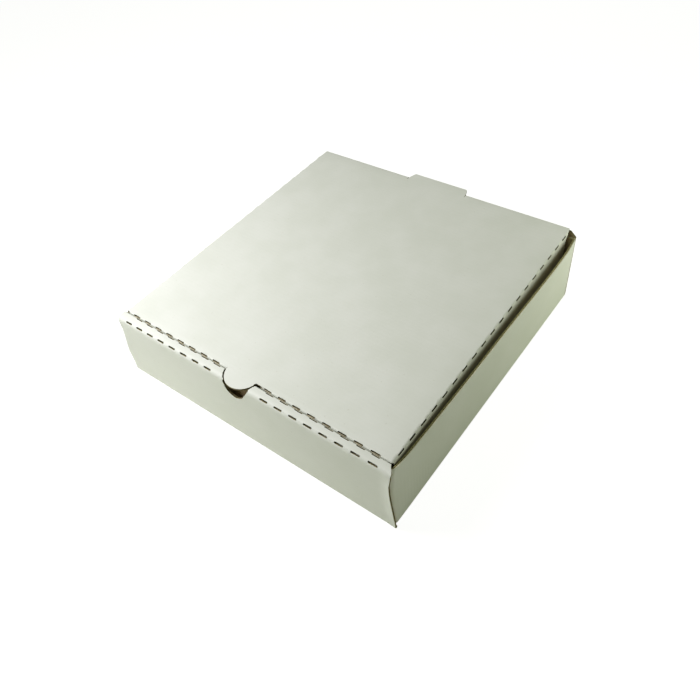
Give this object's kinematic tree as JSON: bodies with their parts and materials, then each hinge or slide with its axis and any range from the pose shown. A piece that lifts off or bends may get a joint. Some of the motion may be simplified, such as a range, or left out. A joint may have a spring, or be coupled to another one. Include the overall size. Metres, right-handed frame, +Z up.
{
  "type": "pizza box",
  "caption": "Closed one-piece corrugated pizza box: rolled front wall with thumb notch, single side walls with ears, and a hinged lid with tuck flaps.",
  "frame": {"origin": "centre of the outline seen from above, on the surface the box stands on", "axes": "+Z up, -Y towards the front wall with the thumb notch, +Y towards the lid hinge, +X to the right seen from the front"},
  "size_m": [0.2572, 0.2707, 0.0698],
  "materials": {
    "board": "white clay coat outside, brown kraft inside and on the cut edges"
  },
  "bodies": {
    "tray": {"tray": "board"},
    "lid": {"lid": "board"}
  },
  "joints": [
    {"name": "lid_hinge", "type": "hinge", "parent": "tray", "child": "lid", "pos_m": [0, 0.12955, 0.0697], "axis": [-1, 0, 0], "range_deg": [0, 180]}
  ]
}
